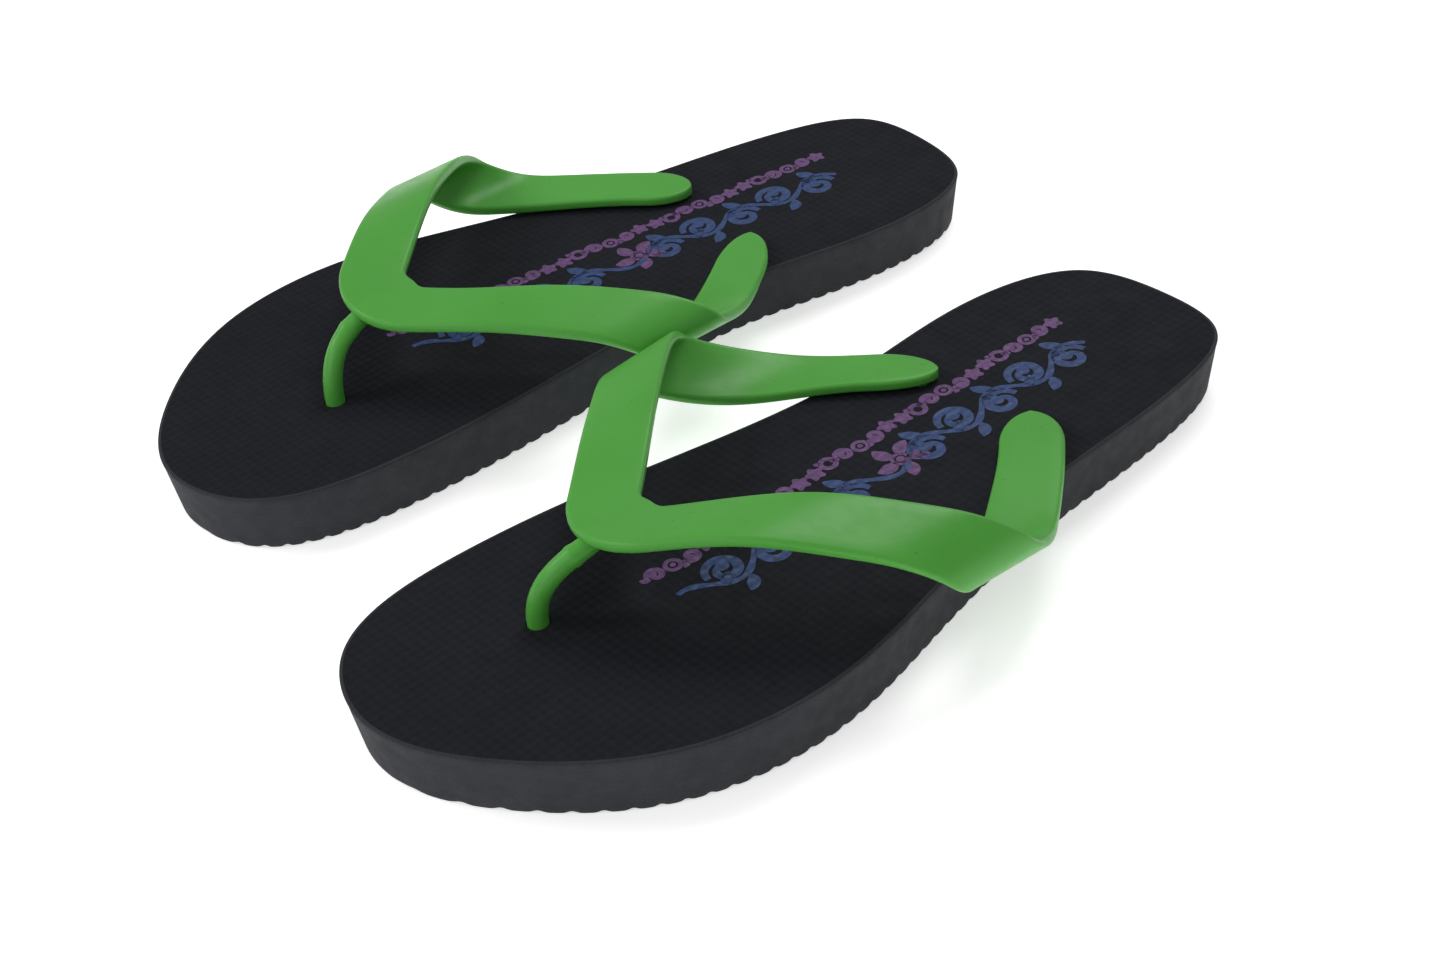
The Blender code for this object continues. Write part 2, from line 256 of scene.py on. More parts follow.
class Sandal:
    """One sandal's place in the scene, and how its own points are put there."""

    def __init__(self, label, side, heel, turn):
        self.label = label
        self.side = side
        self.body = label + "_sandal"
        self.place = Matrix.Translation((heel[0] * MM, heel[1] * MM, 0.0)) @ Matrix.Rotation(turn, 4, "Z")
        self.place = self.place @ Matrix.Diagonal((-side * MM, -MM, MM, 1.0))

    def object_from(self, data, name, materials):
        """A mesh object from a bmesh drawn in the sandal's own frame."""
        data.transform(self.place)
        if self.side < 0:
            bmesh.ops.reverse_faces(data, faces=data.faces)
        mesh = bpy.data.meshes.new(self.label + "_" + name)
        data.to_mesh(mesh)
        data.free()
        item = bpy.data.objects.new(self.label + "_" + name, mesh)
        bpy.context.scene.collection.objects.link(item)
        for material in materials:
            mesh.materials.append(material)
        mesh.shade_smooth()
        return item


def tube(data, rings):
    """Faces between closed rings of vertices, and one over each end."""
    for first, second in zip(rings, rings[1:]):
        for i in range(len(first)):
            j = (i + 1) % len(first)
            data.faces.new((first[i], first[j], second[j], second[i]))
    data.faces.new(rings[0])
    data.faces.new(rings[-1][::-1])


# ---------------------------------------------------------------- materials


class Nodes:
    """A short way to write a material's node tree."""

    def __init__(self, name):
        self.material = bpy.data.materials.new(name)
        self.material.use_nodes = True
        self.tree = self.material.node_tree
        self.shader = self.tree.nodes["Principled BSDF"]
        self.place = self.add("ShaderNodeTexCoord").outputs["Object"]

    def add(self, kind, **settings):
        node = self.tree.nodes.new(kind)
        for key, value in settings.items():
            setattr(node, key, value)
        return node

    def put(self, socket, value):
        if isinstance(value, bpy.types.NodeSocket):
            self.tree.links.new(value, socket)
        else:
            socket.default_value = value

    def noise(self, scale, detail):
        node = self.add("ShaderNodeTexNoise")
        self.put(node.inputs["Vector"], self.place)
        node.inputs["Scale"].default_value = scale
        node.inputs["Detail"].default_value = detail
        return node.outputs["Fac"]

    def cells(self, scale):
        node = self.add("ShaderNodeTexVoronoi")
        self.put(node.inputs["Vector"], self.place)
        node.inputs["Scale"].default_value = scale
        return node.outputs["Distance"]

    def math(self, operation, a, b=0.0):
        node = self.add("ShaderNodeMath", operation=operation)
        self.put(node.inputs[0], a)
        self.put(node.inputs[1], b)
        return node.outputs[0]

    def remap(self, value, low, high, to_low, to_high):
        node = self.add("ShaderNodeMapRange")
        self.put(node.inputs["Value"], value)
        for key, number in (("From Min", low), ("From Max", high), ("To Min", to_low), ("To Max", to_high)):
            node.inputs[key].default_value = number
        return node.outputs["Result"]

    def mix(self, fac, first, second):
        node = self.add("ShaderNodeMix", data_type="RGBA")
        # For colours the node's sockets are 6 and 7 in, and 2 out.
        self.put(node.inputs[0], fac)
        for index, value in ((6, first), (7, second)):
            self.put(node.inputs[index], value if isinstance(value, bpy.types.NodeSocket) else (*value, 1.0))
        return node.outputs[2]

    def bump(self, height, distance, strength=1.0, below=None):
        node = self.add("ShaderNodeBump")
        self.put(node.inputs["Height"], height)
        node.inputs["Distance"].default_value = distance
        node.inputs["Strength"].default_value = strength
        if below is not None:
            self.put(node.inputs["Normal"], below)
        return node.outputs["Normal"]

    def finish(self, color, roughness, normal, **fixed):
        self.put(self.shader.inputs["Base Color"], color)
        self.put(self.shader.inputs["Roughness"], roughness)
        self.put(self.shader.inputs["Normal"], normal)
        for key, value in fixed.items():
            self.shader.inputs[key.replace("_", " ")].default_value = value
        return self.material


def weave(nodes, pitch):
    """Small pillows in a diagonal grid."""
    split = nodes.add("ShaderNodeSeparateXYZ")
    nodes.put(split.inputs[0], nodes.place)
    x, y = split.outputs[0], split.outputs[1]
    k = math.pi / (pitch * MM)
    first = nodes.math("SINE", nodes.math("MULTIPLY", nodes.math("ADD", x, y), k))
    second = nodes.math("SINE", nodes.math("MULTIPLY", nodes.math("SUBTRACT", x, y), k))
    return nodes.math("MULTIPLY", first, second)


def footbed_foam():
    nodes = Nodes("foam_footbed")
    pattern = weave(nodes, 2.6)
    patches = nodes.remap(nodes.noise(26.0, 3.0), 0.3, 0.7, 0.0, 1.0)
    color = nodes.mix(patches, (0.0106, 0.0115, 0.0156), (0.0134, 0.0144, 0.0192))
    specks = nodes.remap(nodes.noise(3200.0, 2.0), 0.45, 0.75, 0.0, 0.45)
    color = nodes.mix(specks, color, (0.026, 0.027, 0.031))
    color = nodes.mix(nodes.remap(pattern, -0.9, 0.6, 0.45, 0.0), color, (0.0072, 0.0076, 0.0090))
    roughness = nodes.remap(nodes.noise(160.0, 5.0), 0.3, 0.7, 0.66, 0.82)
    normal = nodes.bump(pattern, 0.00010)
    normal = nodes.bump(nodes.noise(2600.0, 2.0), 0.00005, 0.6, normal)
    return nodes.finish(color, roughness, normal, Specular_IOR_Level=0.09)


def wall_foam():
    nodes = Nodes("foam_wall")
    patches = nodes.remap(nodes.noise(90.0, 4.0), 0.35, 0.7, 0.0, 1.0)
    color = nodes.mix(patches, (0.0285, 0.0300, 0.0350), (0.0325, 0.0345, 0.0395))
    color = nodes.mix(nodes.remap(nodes.cells(1500.0), 0.1, 0.6, 0.35, 0.0), color, (0.017, 0.018, 0.021))
    roughness = nodes.remap(nodes.noise(220.0, 4.0), 0.3, 0.7, 0.66, 0.86)
    normal = nodes.bump(nodes.cells(1500.0), 0.00009, 0.9)
    normal = nodes.bump(nodes.noise(420.0, 3.0), 0.00015, 0.3, normal)
    return nodes.finish(color, roughness, normal, Specular_IOR_Level=0.2)


def strap_vinyl():
    nodes = Nodes("vinyl_green")
    clouds = nodes.remap(nodes.noise(32.0, 3.0), 0.3, 0.7, 0.0, 1.0)
    color = nodes.mix(clouds, (0.078, 0.350, 0.046), (0.090, 0.385, 0.057))
    specks = nodes.remap(nodes.noise(900.0, 1.0), 0.765, 0.80, 0.0, 0.55)
    color = nodes.mix(specks, color, (0.03, 0.12, 0.03))
    roughness = nodes.remap(nodes.noise(260.0, 4.0), 0.3, 0.7, 0.31, 0.40)
    normal = nodes.bump(nodes.noise(420.0, 3.0), 0.00007, 0.5)
    normal = nodes.bump(nodes.noise(3000.0, 2.0), 0.00002, 0.5, normal)
    return nodes.finish(
        color,
        roughness,
        normal,
        Specular_IOR_Level=0.25,
        Subsurface_Weight=0.18,
        Subsurface_Radius=(0.6, 1.0, 0.5),
        Subsurface_Scale=0.0012,
    )


def print_ink(name, color, worn):
    nodes = Nodes(name)
    wear = nodes.remap(nodes.noise(900.0, 4.0), 0.42, 0.68, 0.0, 0.85)
    faded = nodes.mix(wear, color, worn)
    roughness = nodes.remap(nodes.noise(500.0, 3.0), 0.3, 0.7, 0.45, 0.65)
    normal = nodes.bump(weave(nodes, 2.7), 0.00012)
    normal = nodes.bump(nodes.noise(2400.0, 2.0), 0.00004, 0.6, normal)
    return nodes.finish(faded, roughness, normal, Specular_IOR_Level=0.4)


FOOTBED = footbed_foam()
WALL = wall_foam()
VINYL = strap_vinyl()
BLUE = print_ink("ink_blue", (0.018, 0.056, 0.190), (0.014, 0.025, 0.064))
PURPLE = print_ink("ink_purple", (0.142, 0.056, 0.190), (0.060, 0.030, 0.080))


# ---------------------------------------------------------------- soles


def groove(y):
    """Depth of the outsole's cross grooves."""
    wave = 0.5 - 0.5 * np.cos(2 * np.pi * np.asarray(y) / GROOVE_PITCH)
    return GROOVE_DEPTH * wave**3


def outline_sides():
    """The outline's outer and inner side, each a row of points from heel to toe at the same lengths."""
    rim = spline(OUTLINE, OUTLINE_STEPS, closed=True)
    heel = int(rim[:, 1].argmin())
    toe = int(rim[:, 1].argmax())
    rim = np.roll(rim, -heel, axis=0)
    toe = (toe - heel) % len(rim)
    outer, inner = rim[: toe + 1], np.vstack([rim[toe:], rim[:1]])[::-1]
    if outer[:, 0].mean() > inner[:, 0].mean():
        outer, inner = inner, outer
    share = (1 - np.cos(np.linspace(0.0, np.pi, SOLE_ROWS))) / 2
    y = rim[:, 1].min() + share * (rim[:, 1].max() - rim[:, 1].min())
    return tuple(np.stack([np.interp(y, side[:, 1], side[:, 0]), y], axis=1) for side in (outer, inner))


def inset_loop(loop, amount):
    """The loop moved inwards."""
    ahead = np.roll(loop, -1, axis=0) - np.roll(loop, 1, axis=0)
    inward = np.stack([-ahead[:, 1], ahead[:, 0]], axis=1) / np.linalg.norm(ahead, axis=1)[:, None]
    if (inward * (loop.mean(axis=0) - loop)).sum() < 0:
        inward = -inward
    return loop + amount * inward


def sheet_in_loop(data, loop, height_at, index):
    """Rows of faces that fill a loop of vertices."""
    border = [(loop[k], loop[(-k) % len(loop)]) for k in range(1, SOLE_ROWS - 1)]
    grid = []
    for first, second in border:
        line = [first]
        for c in range(1, SOLE_COLUMNS):
            share = (1 - math.cos(math.pi * c / SOLE_COLUMNS)) / 2 * 0.5 + 0.5 * c / SOLE_COLUMNS
            spot = first.co.lerp(second.co, share)
            line.append(data.verts.new((spot.x, spot.y, float(height_at(spot.y)))))
        line.append(second)
        grid.append(line)
    made = []
    for a, b in zip(grid, grid[1:]):
        for c in range(SOLE_COLUMNS):
            made.append(data.faces.new((a[c], a[c + 1], b[c + 1], b[c])))
    for tip, line in ((loop[0], grid[0]), (loop[SOLE_ROWS - 1], grid[-1])):
        for c in range(SOLE_COLUMNS):
            made.append(data.faces.new((tip, line[c + 1], line[c])))
    for face in made:
        face.material_index = index


def sole_shape():
    """The foam slab: crisp rim, leaning wall, scalloped lower edge and a cross-grooved outsole."""
    outer, inner = outline_sides()
    rim = np.vstack([outer, inner[-2:0:-1]])
    data = bmesh.new()
    rings = []
    top = footbed_height(rim[:, 1])
    for amount, down in RIM_RINGS:
        spots = inset_loop(rim, amount)
        rings.append([data.verts.new((x, y, z - down)) for (x, y), z in zip(spots, top)])
    for share in WALL_RINGS:
        spots = inset_loop(rim, WALL_INSET * share)
        # The last fifth of the wall blends into the grooves.
        fade = max(0.0, (share - 0.8) / 0.2)
        heights = top * (1 - share)
        low = np.maximum(heights, groove(spots[:, 1]) * fade + heights * (1 - fade))
        rings.append([data.verts.new((x, y, z)) for (x, y), z in zip(spots, low)])
    for amount, over in FOOT_RINGS:
        spots = inset_loop(rim, WALL_INSET + amount)
        rings.append([data.verts.new((x, y, z)) for (x, y), z in zip(spots, groove(rim[:, 1]) + over)])
    count = len(rim)
    for upper, lower in zip(rings, rings[1:]):
        for i in range(count):
            j = (i + 1) % count
            data.faces.new((upper[i], upper[j], lower[j], lower[i])).material_index = 1
    sheet_in_loop(data, rings[0], footbed_height, 0)
    sheet_in_loop(data, rings[-1], groove, 1)
    bmesh.ops.recalc_face_normals(data, faces=data.faces)
    return data


def round_bar(data, centre, profile):
    """A turned shape: profile holds (radius, height) from the bottom middle to the top middle."""
    angles = [2 * math.pi * k / ROUND_SIDES for k in range(ROUND_SIDES)]
    rings = []
    for radius, height in profile:
        if radius == 0:
            rings.append([data.verts.new((centre[0], centre[1], height))])
            continue
        spots = [(centre[0] + radius * math.cos(a), centre[1] + radius * math.sin(a), height) for a in angles]
        rings.append([data.verts.new(spot) for spot in spots])
    for low, high in zip(rings, rings[1:]):
        for k in range(ROUND_SIDES):
            n = (k + 1) % ROUND_SIDES
            if len(low) == 1:
                data.faces.new((low[0], high[n], high[k]))
            elif len(high) == 1:
                data.faces.new((low[k], low[n], high[0]))
            else:
                data.faces.new((low[k], low[n], high[n], high[k]))


def plug_sizes(side):
    """Each plug's centre and its stem's radius: the toe post's first."""
    return [(TOE_HOLE, POST_RADIUS), *((centre, STEM_RADIUS) for centre in stem_centres(side))]


def make_sole(sandal):
    """The slab with its holes and pockets."""
    sole = sandal.object_from(sole_shape(), "foam", (FOOTBED, WALL))
    cutter = bmesh.new()
    pocket_top = DISC_RECESS + DISC_THICKNESS + POCKET_CLEARANCE
    for centre, radius in plug_sizes(sandal.side):
        bed = float(footbed_height(centre[1]))
        pocket, hole = DISC_RADIUS + POCKET_CLEARANCE, radius + HOLE_CLEARANCE
        steps = [(0.0, -2.0), (pocket + 0.5, -2.0), (pocket + 0.5, 0.2), (pocket, 0.7), (pocket, pocket_top)]
        mouth = radius + MOUTH_CLEARANCE
        steps += [(hole, pocket_top), (hole, bed - 2.4), (mouth, bed - 1.6), (mouth, bed - 0.4)]
        steps += [(mouth + 0.15, bed - 0.15), (mouth + 0.4, bed + 0.05)]
        steps += [(mouth + 0.4, bed + 2.0), (0.0, bed + 2.0)]
        round_bar(cutter, centre, steps)
    tool = sandal.object_from(cutter, "cutter", ())
    cut = sole.modifiers.new("holes", "BOOLEAN")
    cut.operation = "DIFFERENCE"
    cut.solver = "EXACT"
    cut.object = tool
    graph = bpy.context.evaluated_depsgraph_get()
    mesh = bpy.data.meshes.new_from_object(sole.evaluated_get(graph))
    sole.modifiers.clear()
    sole.data = mesh
    bpy.data.objects.remove(tool, do_unlink=True)
    mesh.shade_smooth()
    mesh.set_sharp_from_angle(angle=SOLE_SMOOTH_ANGLE)
    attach(sole, sandal.body)
    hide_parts(sandal.label + "_sole")


# ---------------------------------------------------------------- straps


def strap_frame(x, y, z):
    """From the strap's own axes to the sandal's."""
    return Matrix.Rotation(STRAP_TURN, 4, "Z") @ Vector((x, y, z)) + Vector((*STRAP_MIDDLE, 0.0))


class Arm:
    """One arm of the strap: half of the flat strip, bent to follow a run."""

    def __init__(self, hand, length, run, beyond, tongue_run, skew, lean, taper, tip):
        self.hand, self.length, self.skew, self.lean = hand, length, skew, lean
        self.taper, self.tip = taper, tip
        self.distance = np.linspace(0.0, length, STRIP_STEPS)
        self.heading = np.radians(np.interp(self.distance, *zip(*HEADINGS)))
        step = length / (len(self.distance) - 1)
        mean = (self.heading[1:] + self.heading[:-1]) / 2
        self.out = step * np.concatenate([[0.0], np.cumsum(np.cos(mean))])
        self.forward = -step * np.concatenate([[0.0], np.cumsum(np.sin(mean))])
        settled = [(x, tongue_height() - SETTLE_SLOPE * max(SETTLE_FROM - x, 0.0)) for x in tongue_run]
        points = [(-run[1][0], beyond), *run, *settled]
        self.run = spline(points, RUN_STEPS, closed=False)
        lengths = np.linalg.norm(np.diff(self.run, axis=0), axis=1)
        self.run_length = np.concatenate([[0.0], np.cumsum(lengths)])
        outmost = int(self.run[:, 0].argmax())
        self.run_length -= np.interp(0.0, self.run[:outmost, 0], self.run_length[:outmost])
        self.slope = np.unwrap(np.arctan2(*np.gradient(self.run, axis=0).T[::-1]))

    def point(self, distance, across, off):
        """Where a point of the flat strip goes: along it, across it to the front, off its middle layer."""
        strip = (self.heading, self.out, self.forward)
        heading, out, forward = (np.interp(distance, self.distance, values) for values in strip)
        u = out + across * math.sin(heading)
        y = forward + across * math.cos(heading)
        along_axis = y * math.cos(self.skew) - u * math.sin(self.skew)
        from_axis = u * math.cos(self.skew) + y * math.sin(self.skew)
        x, z, slope = (np.interp(from_axis, self.run_length, values) for values in (*self.run.T, self.slope))
        x -= off * math.sin(slope)
        lean = self.lean * math.sin(math.pi * min(max(u / LEAN_SPAN, 0.0), 1.0)) * across * math.cos(heading)
        z += off * math.cos(slope) + lean
        across_axis = x * math.cos(self.skew) - along_axis * math.sin(self.skew)
        along_strap = x * math.sin(self.skew) + along_axis * math.cos(self.skew)
        return strap_frame(self.hand * across_axis, along_strap, z)

    def half_width(self, distance):
        """Half the strip's width, without the rounding of its tip."""
        share = min(max((distance + TAPER_SPAN - self.length) / (TAPER_SPAN - self.tip), 0.0), 1.0)
        return STRAP_HALF_WIDTH * (1 - self.taper * share * share * (3 - 2 * share))

    def rows(self):
        """Distances along the arm with the half width at each, close together in the bend and in the tip."""
        start = self.length - self.tip
        bend = np.linspace(0.0, NOTCH_SPAN, NOTCH_ROWS)
        places = [*bend[:-1], *np.linspace(NOTCH_SPAN, start, ARM_ROWS)]
        rows = [(distance, self.half_width(distance)) for distance in places]
        for angle in np.radians(np.linspace(0.0, 88.0, TIP_ROWS)[1:]):
            rows.append((start + self.tip * math.sin(angle), self.half_width(start) * math.cos(angle)))
        return rows


def arms(side):
    """The two arms of a left (1) or a right (-1) sandal's strap, outer side first."""
    outer_length, inner_length = LEFT_LENGTHS if side > 0 else RIGHT_LENGTHS
    outer_run = OUTER_RUN if side > 0 else RIGHT_OUTER_RUN
    outer_rise, inner_rise = outer_run[1][1], INNER_RUN[1][1]
    outer = (outer_run, inner_rise, OUTER_TONGUE_RUN, OUTER_SKEW, OUTER_LEAN, OUTER_TAPER, OUTER_TIP)
    inner = (INNER_RUN, outer_rise, INNER_TONGUE_RUN, INNER_SKEW, INNER_LEAN, INNER_TAPER, INNER_TIP)
    return Arm(-1, outer_length, *outer), Arm(1, inner_length, *inner)


def stem_centres(side):
    """Where the two side stems stand: outer side first."""
    return [tuple(arm.point(arm.length - STEM_INSET, 0.0, 0.0))[:2] for arm in arms(side)]


def section(half, fill):
    """The strip's cut across: flat faces and softly rounded edges, as (across, off) pairs round it."""
    edge = min(STRAP_EDGE, half * 0.7)
    thick = STRAP_THICKNESS / 2
    top = []
    for angle in np.radians((0.0, 22.0, 45.0, 68.0, 90.0)):
        rise = STRAP_EDGE_HALF_THICKNESS + (thick - STRAP_EDGE_HALF_THICKNESS) * math.sin(angle)
        top.append((half - edge + edge * math.cos(angle), rise))
    inner = half - edge
    top += [(inner * share, thick) for share in (0.66, 0.33, 0.0)]
    front = top[:-1]
    whole = front + [top[-1]] + [(-w, h) for w, h in front[::-1]]
    whole = [(w - fill if w < 0 else w, h) for w, h in whole]
    return whole + [(w, -h) for w, h in whole[::-1]]


def make_band(sandal):
    """Both arms with their tongues, as one closed strip."""
    data = bmesh.new()
    rings = []
    outer, inner = arms(sandal.side)
    for arm, rows in ((outer, outer.rows()[::-1]), (inner, inner.rows()[1:])):
        for distance, half in rows:
            fill = NOTCH_FILL * (1 + math.cos(math.pi * min(distance / NOTCH_SPAN, 1.0))) / 2
            rings.append([data.verts.new(arm.point(distance, w, h)) for w, h in section(half, fill)])
    tube(data, rings)
    bmesh.ops.recalc_face_normals(data, faces=data.faces)
    band = sandal.object_from(data, "strap_band", (VINYL,))
    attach(band, sandal.body)
    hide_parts(sandal.label + "_strap")


def make_post(sandal):
    """The round toe post, with a rounded end inside the strap and a thin collar."""
    x, y, up = POST_ROOT
    start = strap_frame(x, y, CROWN_HEIGHT + up)
    x, y, up = POST_PULL
    pull = strap_frame(x, y, CROWN_HEIGHT + up)
    mouth = Vector((*TOE_HOLE, float(footbed_height(TOE_HOLE[1]))))
    over = mouth + Vector((0.0, 0.0, POST_RISE))
    curve = interpolate_bezier(start, pull, over, mouth, POST_RINGS)
    curve.append(Vector((*TOE_HOLE, DISC_RECESS + DISC_THICKNESS)))
    data = bmesh.new()
    rings = []
    angles = [2 * math.pi * k / POST_SIDES for k in range(POST_SIDES)]
    for i, centre in enumerate(curve):
        ahead = (curve[min(i + 1, len(curve) - 1)] - curve[max(i - 1, 0)]).normalized()
        if i >= len(curve) - 2:
            ahead = Vector((0.0, 0.0, -1.0))
        across = ahead.cross(Vector((1.0, 0.0, 0.0))).normalized()
        third = ahead.cross(across)
        grown = min(i / ROOT_RINGS, 1.0)
        collar = COLLAR_RISE * math.exp(-(((i - COLLAR_RING) / COLLAR_RINGS) ** 2))
        radius = POST_RADIUS * (ROOT_SHARE + (1 - ROOT_SHARE) * math.sqrt(1 - (1 - grown) ** 2) + collar)
        spots = [centre + radius * (math.cos(a) * across + math.sin(a) * third) for a in angles]
        rings.append([data.verts.new(spot) for spot in spots])
    tube(data, rings)
    bmesh.ops.recalc_face_normals(data, faces=data.faces)
    post = sandal.object_from(data, "strap_post", (VINYL,))
    post.data.set_sharp_from_angle(angle=PLUG_SMOOTH_ANGLE)
    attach(post, sandal.body)


def make_plugs(sandal):
    """Each stem with its disc, which has rounded rims and a shallow dish in it."""
    data = bmesh.new()
    top = tongue_height()
    for centre, radius in plug_sizes(sandal.side):
        reach = 12.0 if centre is TOE_HOLE else top
        neck = radius if centre is TOE_HOLE else radius - NECK_CUT
        low, high = DISC_RECESS, DISC_RECESS + DISC_THICKNESS
        steps = [(0.0, low + 0.5), (3.0, low + 0.5), (3.8, low), (DISC_RADIUS - 0.7, low)]
        steps += [(DISC_RADIUS - 0.2, low + 0.2), (DISC_RADIUS, low + 0.7), (DISC_RADIUS, high - 0.5)]
        steps += [(DISC_RADIUS - 0.5, high), (radius + 0.8, high), (radius, high + 0.8)]
        steps += [(radius, reach - 5.0), (neck, reach - 4.0), (neck, reach - 0.3), (0.0, reach - 0.3)]
        round_bar(data, centre, steps)
    bmesh.ops.recalc_face_normals(data, faces=data.faces)
    plugs = sandal.object_from(data, "strap_plugs", (VINYL,))
    plugs.data.set_sharp_from_angle(angle=PLUG_SMOOTH_ANGLE)
    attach(plugs, sandal.body)


# ---------------------------------------------------------------- printed ornament


class Print:
    """Flat inked strokes on one sandal's footbed."""

    def __init__(self, sandal):
        self.sandal = sandal
        self.data = bmesh.new()

    def vertex(self, x, y, up):
        """A point of ink in the sandal's frame, up over the footbed."""
        x = x + ORNAMENT_DRIFT * (y - DRIFT_FROM)
        if self.sandal.side < 0:
            x = -(x + ORNAMENT_SHIFT)
        return self.data.verts.new((x, y, float(footbed_height(y)) + up))

    def stroke(self, points, widths):
        """A ribbon of ink along points, with the half width at each."""
        points = np.array(points, float)
        ahead = np.gradient(points, axis=0)
        ahead /= np.maximum(np.linalg.norm(ahead, axis=1), 1e-9)[:, None]
        rings = []
        for (x, y), (ax, ay), half in zip(points, ahead, widths):
            corners = ((half, INK), (-half, INK), (-half, -INK), (half, -INK))
            rings.append([self.vertex(x - ay * w, y + ax * w, up) for w, up in corners])
        tube(self.data, rings)

    def curl(self, x, y, start, turns, big, small, half):
        """A spiral that runs in to its middle."""
        share = np.linspace(0.0, 1.0, 40)
        angle = start + 2 * math.pi * turns * share
        radius = big + (small - big) * share
        points = np.stack([x + radius * np.cos(angle), y + radius * np.sin(angle)], axis=1)
        self.stroke(points, half * (0.45 + 0.55 * np.sin(np.pi * (0.12 + 0.88 * share))))
        self.dot(*points[-1], half * 1.35)

    def leaf(self, x, y, angle, length, half):
        share = np.linspace(0.0, 1.0, 14)
        bend = 0.12 * length * np.sin(np.pi * share)
        px = x + length * share * math.cos(angle) - bend * math.sin(angle)
        py = y + length * share * math.sin(angle) + bend * math.cos(angle)
        self.stroke(np.stack([px, py], axis=1), 0.12 + half * np.sin(np.pi * share) ** 0.8)

    def dot(self, x, y, radius):
        self.patch(x, y, radius, 0, 0.0)

    def patch(self, x, y, radius, petals, depth):
        """A filled round or petalled patch."""
        count = 36 if petals else 18
        top, low = [], []
        for k in range(count):
            a = 2 * math.pi * k / count
            r = radius * (1 + depth * math.cos(petals * a))
            top.append(self.vertex(x + r * math.cos(a), y + r * math.sin(a), INK + 0.01))
            low.append(self.vertex(x + r * math.cos(a), y + r * math.sin(a), -INK))
        self.data.faces.new(top)
        self.data.faces.new(low[::-1])
        for k in range(count):
            n = (k + 1) % count
            self.data.faces.new((top[n], top[k], low[k], low[n]))

    def loop(self, x, y, radius, half):
        angle = np.linspace(0.0, 2 * math.pi, 29)
        points = np.stack([x + radius * np.cos(angle), y + radius * np.sin(angle)], axis=1)
        self.stroke(points, np.full(len(angle), half))

    def done(self, name, ink):
        bmesh.ops.recalc_face_normals(self.data, faces=self.data.faces)
        item = self.sandal.object_from(self.data, name, (ink,))
        item.data.set_sharp_from_angle(angle=INK_SMOOTH_ANGLE)
        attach(item, self.sandal.body)


def make_vine(sandal):
    """A made-up vine of blue curls and leaves, with a gap where the flower is."""
    vine = Print(sandal)
    y = np.linspace(VINE_FROM, VINE_TO, VINE_STEPS)
    phase = 2 * np.pi * (y - VINE_FROM) / VINE_WAVE
    x = VINE_X + VINE_SWING * np.sin(phase)
    vine.stroke(np.stack([x, y], axis=1), 0.72 + 0.3 * np.sin(phase * 2) ** 2)
    for k in range(11):
        centre = VINE_FROM + VINE_WAVE * (0.25 + 0.5 * k)
        hand = 1 if k % 2 == 0 else -1
        if centre > LAST_CURL or abs(centre - FLOWER[1]) < FLOWER_ROOM:
            continue
        start = math.pi * (1.5 if hand > 0 else 0.5)
        vine.curl(VINE_X - hand * 2.0, centre + 1.0, start, hand * 1.3, 5.2, 1.5, 1.35)
        vine.leaf(VINE_X + hand * 4.0, centre - 2.0, math.radians(90 - hand * 50), 6.2, 1.6)
        vine.leaf(VINE_X + hand * 3.4, centre + 4.0, math.radians(90 + hand * 128), 5.2, 1.4)
    vine.done("print_blue", BLUE)


def make_beads(sandal):
    """A row of purple beads, rings and curls, and the vine's five-leaf flower."""
    beads = Print(sandal)
    for k in range(BEADS):
        y = BEAD_FROM + BEAD_SPACING * k
        x = BEAD_X + 0.5 * math.sin(1.7 * k)
        kind = k % 6
        if kind in (0, 5):
            beads.patch(x, y, 2.4, 5, 0.2)
        elif kind == 2:
            beads.loop(x, y, 1.95, 0.62)
            beads.dot(x, y, 0.8)
        elif kind == 4:
            beads.loop(x, y, 2.0, 0.75)
            beads.leaf(x + 1.2, y + 1.2, math.radians(50), 2.2, 0.7)
        else:
            hand = 1 if kind == 1 else -1
            beads.curl(x, y, math.pi * 0.5, hand * 1.15, 2.5, 0.8, 0.85)
            beads.leaf(x - 0.6, y + 2.0, math.radians(90 + hand * 40), 2.8, 0.8)
    x, y = FLOWER
    for petal in range(PETALS):
        angle = math.radians(90 + 360 / PETALS * petal)
        beads.leaf(x + 1.5 * math.cos(angle), y + 1.5 * math.sin(angle), angle, 6.6, 1.9)
    beads.loop(x, y, 2.2, 0.5)
    beads.dot(x, y, 1.2)
    beads.done("print_purple", PURPLE)


# ---------------------------------------------------------------- putting it together


_, left_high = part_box("left_sole")
outer_reach = float(-spline(OUTLINE, OUTLINE_STEPS, closed=True)[:, 0].min())
left_heel = (left_high.x / MM - outer_reach, left_high.y / MM)
right_heel = (left_heel[0] + RIGHT_HEEL[0], left_heel[1] + RIGHT_HEEL[1])
SANDALS = (Sandal("left", 1, left_heel, 0.0), Sandal("right", -1, right_heel, RIGHT_TURN))

for sandal in SANDALS:
    make_sole(sandal)
    make_band(sandal)
    make_post(sandal)
    make_plugs(sandal)
    make_vine(sandal)
    make_beads(sandal)


# ---------------------------------------------------------------- stage, light and camera


def floor_material():
    nodes = Nodes("floor_white")
    tone = nodes.remap(nodes.noise(3.0, 2.0), 0.3, 0.7, 0.0, 1.0)
    color = nodes.mix(tone, (0.90, 0.90, 0.90), (0.92, 0.92, 0.92))
    roughness = nodes.remap(nodes.noise(40.0, 2.0), 0.3, 0.7, 0.85, 0.95)
    normal = nodes.bump(nodes.noise(500.0, 2.0), 0.00002, 0.2)
    glow = {"Emission_Color": (1.0, 1.0, 1.0, 1.0), "Emission_Strength": 0.56}
    return nodes.finish(color, roughness, normal, Specular_IOR_Level=0.1, **glow)


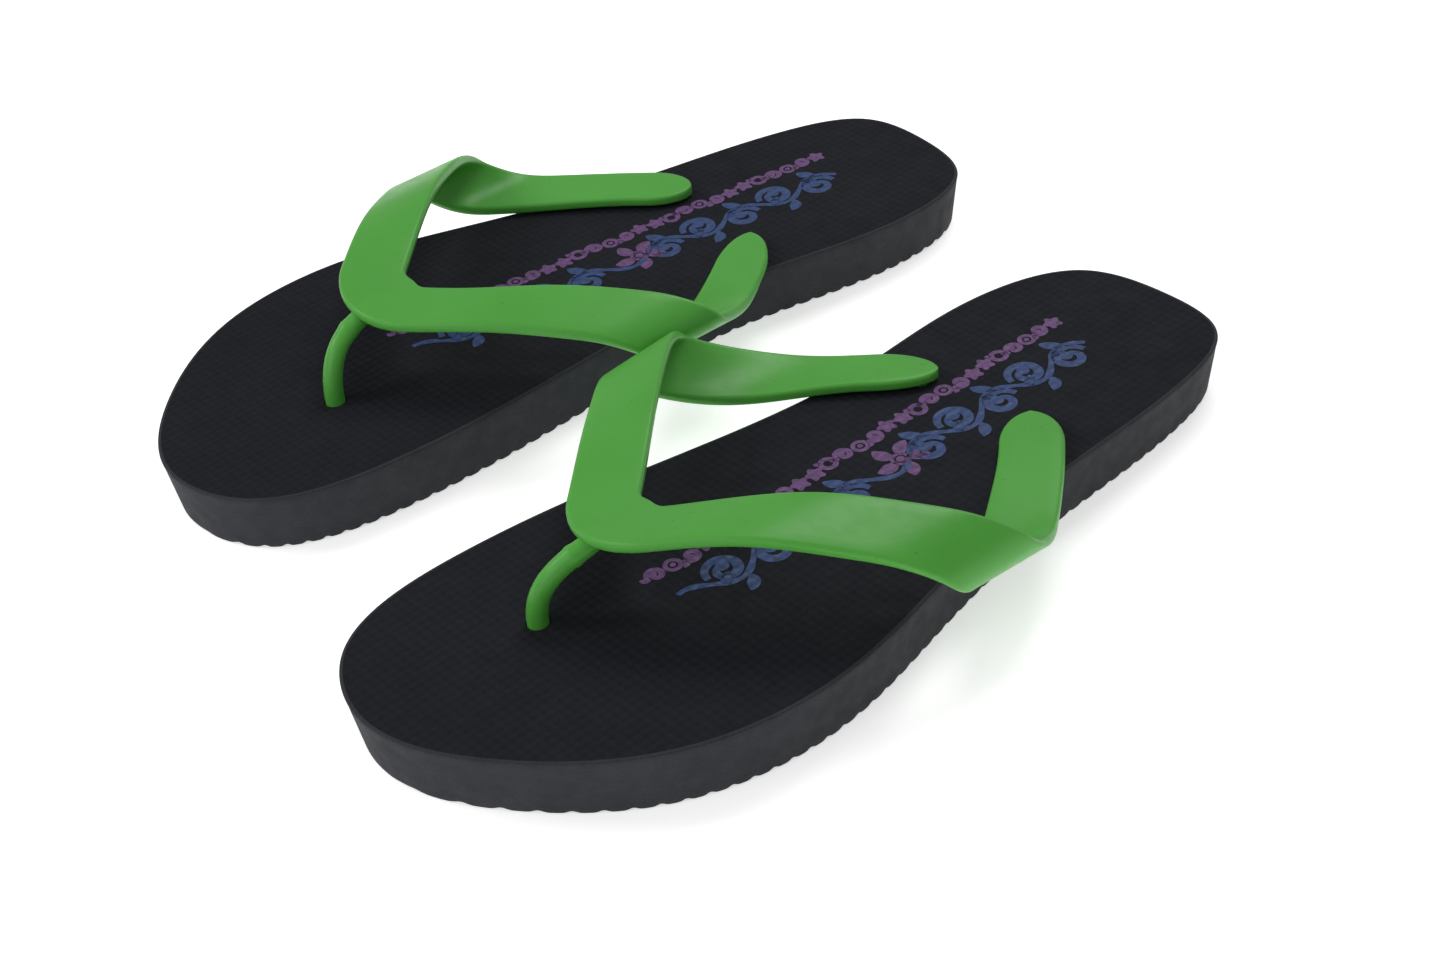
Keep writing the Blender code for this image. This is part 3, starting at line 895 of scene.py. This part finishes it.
def make_floor():
    data = bmesh.new()
    bmesh.ops.create_grid(data, x_segments=4, y_segments=4, size=4.0)
    mesh = bpy.data.meshes.new("floor")
    data.to_mesh(mesh)
    data.free()
    mesh.materials.append(floor_material())
    floor = bpy.data.objects.new("floor", mesh)
    floor.location = (0.0, 0.0, -0.0002)
    bpy.context.scene.collection.objects.link(floor)


def area_light(name, place, size, power, color):
    """A rectangle of light that faces the middle of the scene."""
    data = bpy.data.lights.new(name, "AREA")
    data.shape = "RECTANGLE"
    data.size, data.size_y = size
    data.energy = power
    data.color = color
    light = bpy.data.objects.new(name, data)
    light.location = place
    light.rotation_euler = (-Vector(place)).to_track_quat("-Z", "Y").to_euler()
    bpy.context.scene.collection.objects.link(light)


def make_lights():
    world = bpy.data.worlds.new("studio")
    world.use_nodes = True
    background = world.node_tree.nodes["Background"]
    background.inputs["Color"].default_value = (1.0, 1.0, 1.0, 1.0)
    background.inputs["Strength"].default_value = 0.35
    bpy.context.scene.world = world
    area_light("key", (-0.22, 0.70, 1.08), (0.55, 0.55), 5.8, (1.0, 1.0, 0.99))
    area_light("fill", (0.05, -1.15, 0.75), (1.0, 0.8), 4.6, (1.0, 1.0, 1.0))
    area_light("side", (-0.75, -0.72, 0.90), (0.35, 0.35), 3.8, (1.0, 1.0, 1.0))


def make_camera():
    """The camera, placed from the left sandal's heel."""
    data = bpy.data.cameras.new("camera")
    data.sensor_width = SENSOR_WIDTH
    data.lens = CAMERA_LENS
    data.clip_start, data.clip_end = 0.01, 20.0
    camera = bpy.data.objects.new("camera", data)
    forward = Vector(CAMERA_FORWARD).normalized()
    right = Vector(CAMERA_RIGHT)
    right = (right - forward * right.dot(forward)).normalized()
    up = right.cross(forward)
    turn = Matrix((right, up, -forward)).transposed().to_4x4()
    x, y, z = CAMERA_PLACE
    place = Vector((left_heel[0] + x, left_heel[1] + y, z)) * MM
    camera.matrix_world = Matrix.Translation(place) @ turn
    bpy.context.scene.collection.objects.link(camera)
    bpy.context.scene.camera = camera


make_floor()
make_lights()
make_camera()
bpy.context.scene.view_settings.view_transform = "Standard"
bpy.context.scene.view_settings.look = "None"
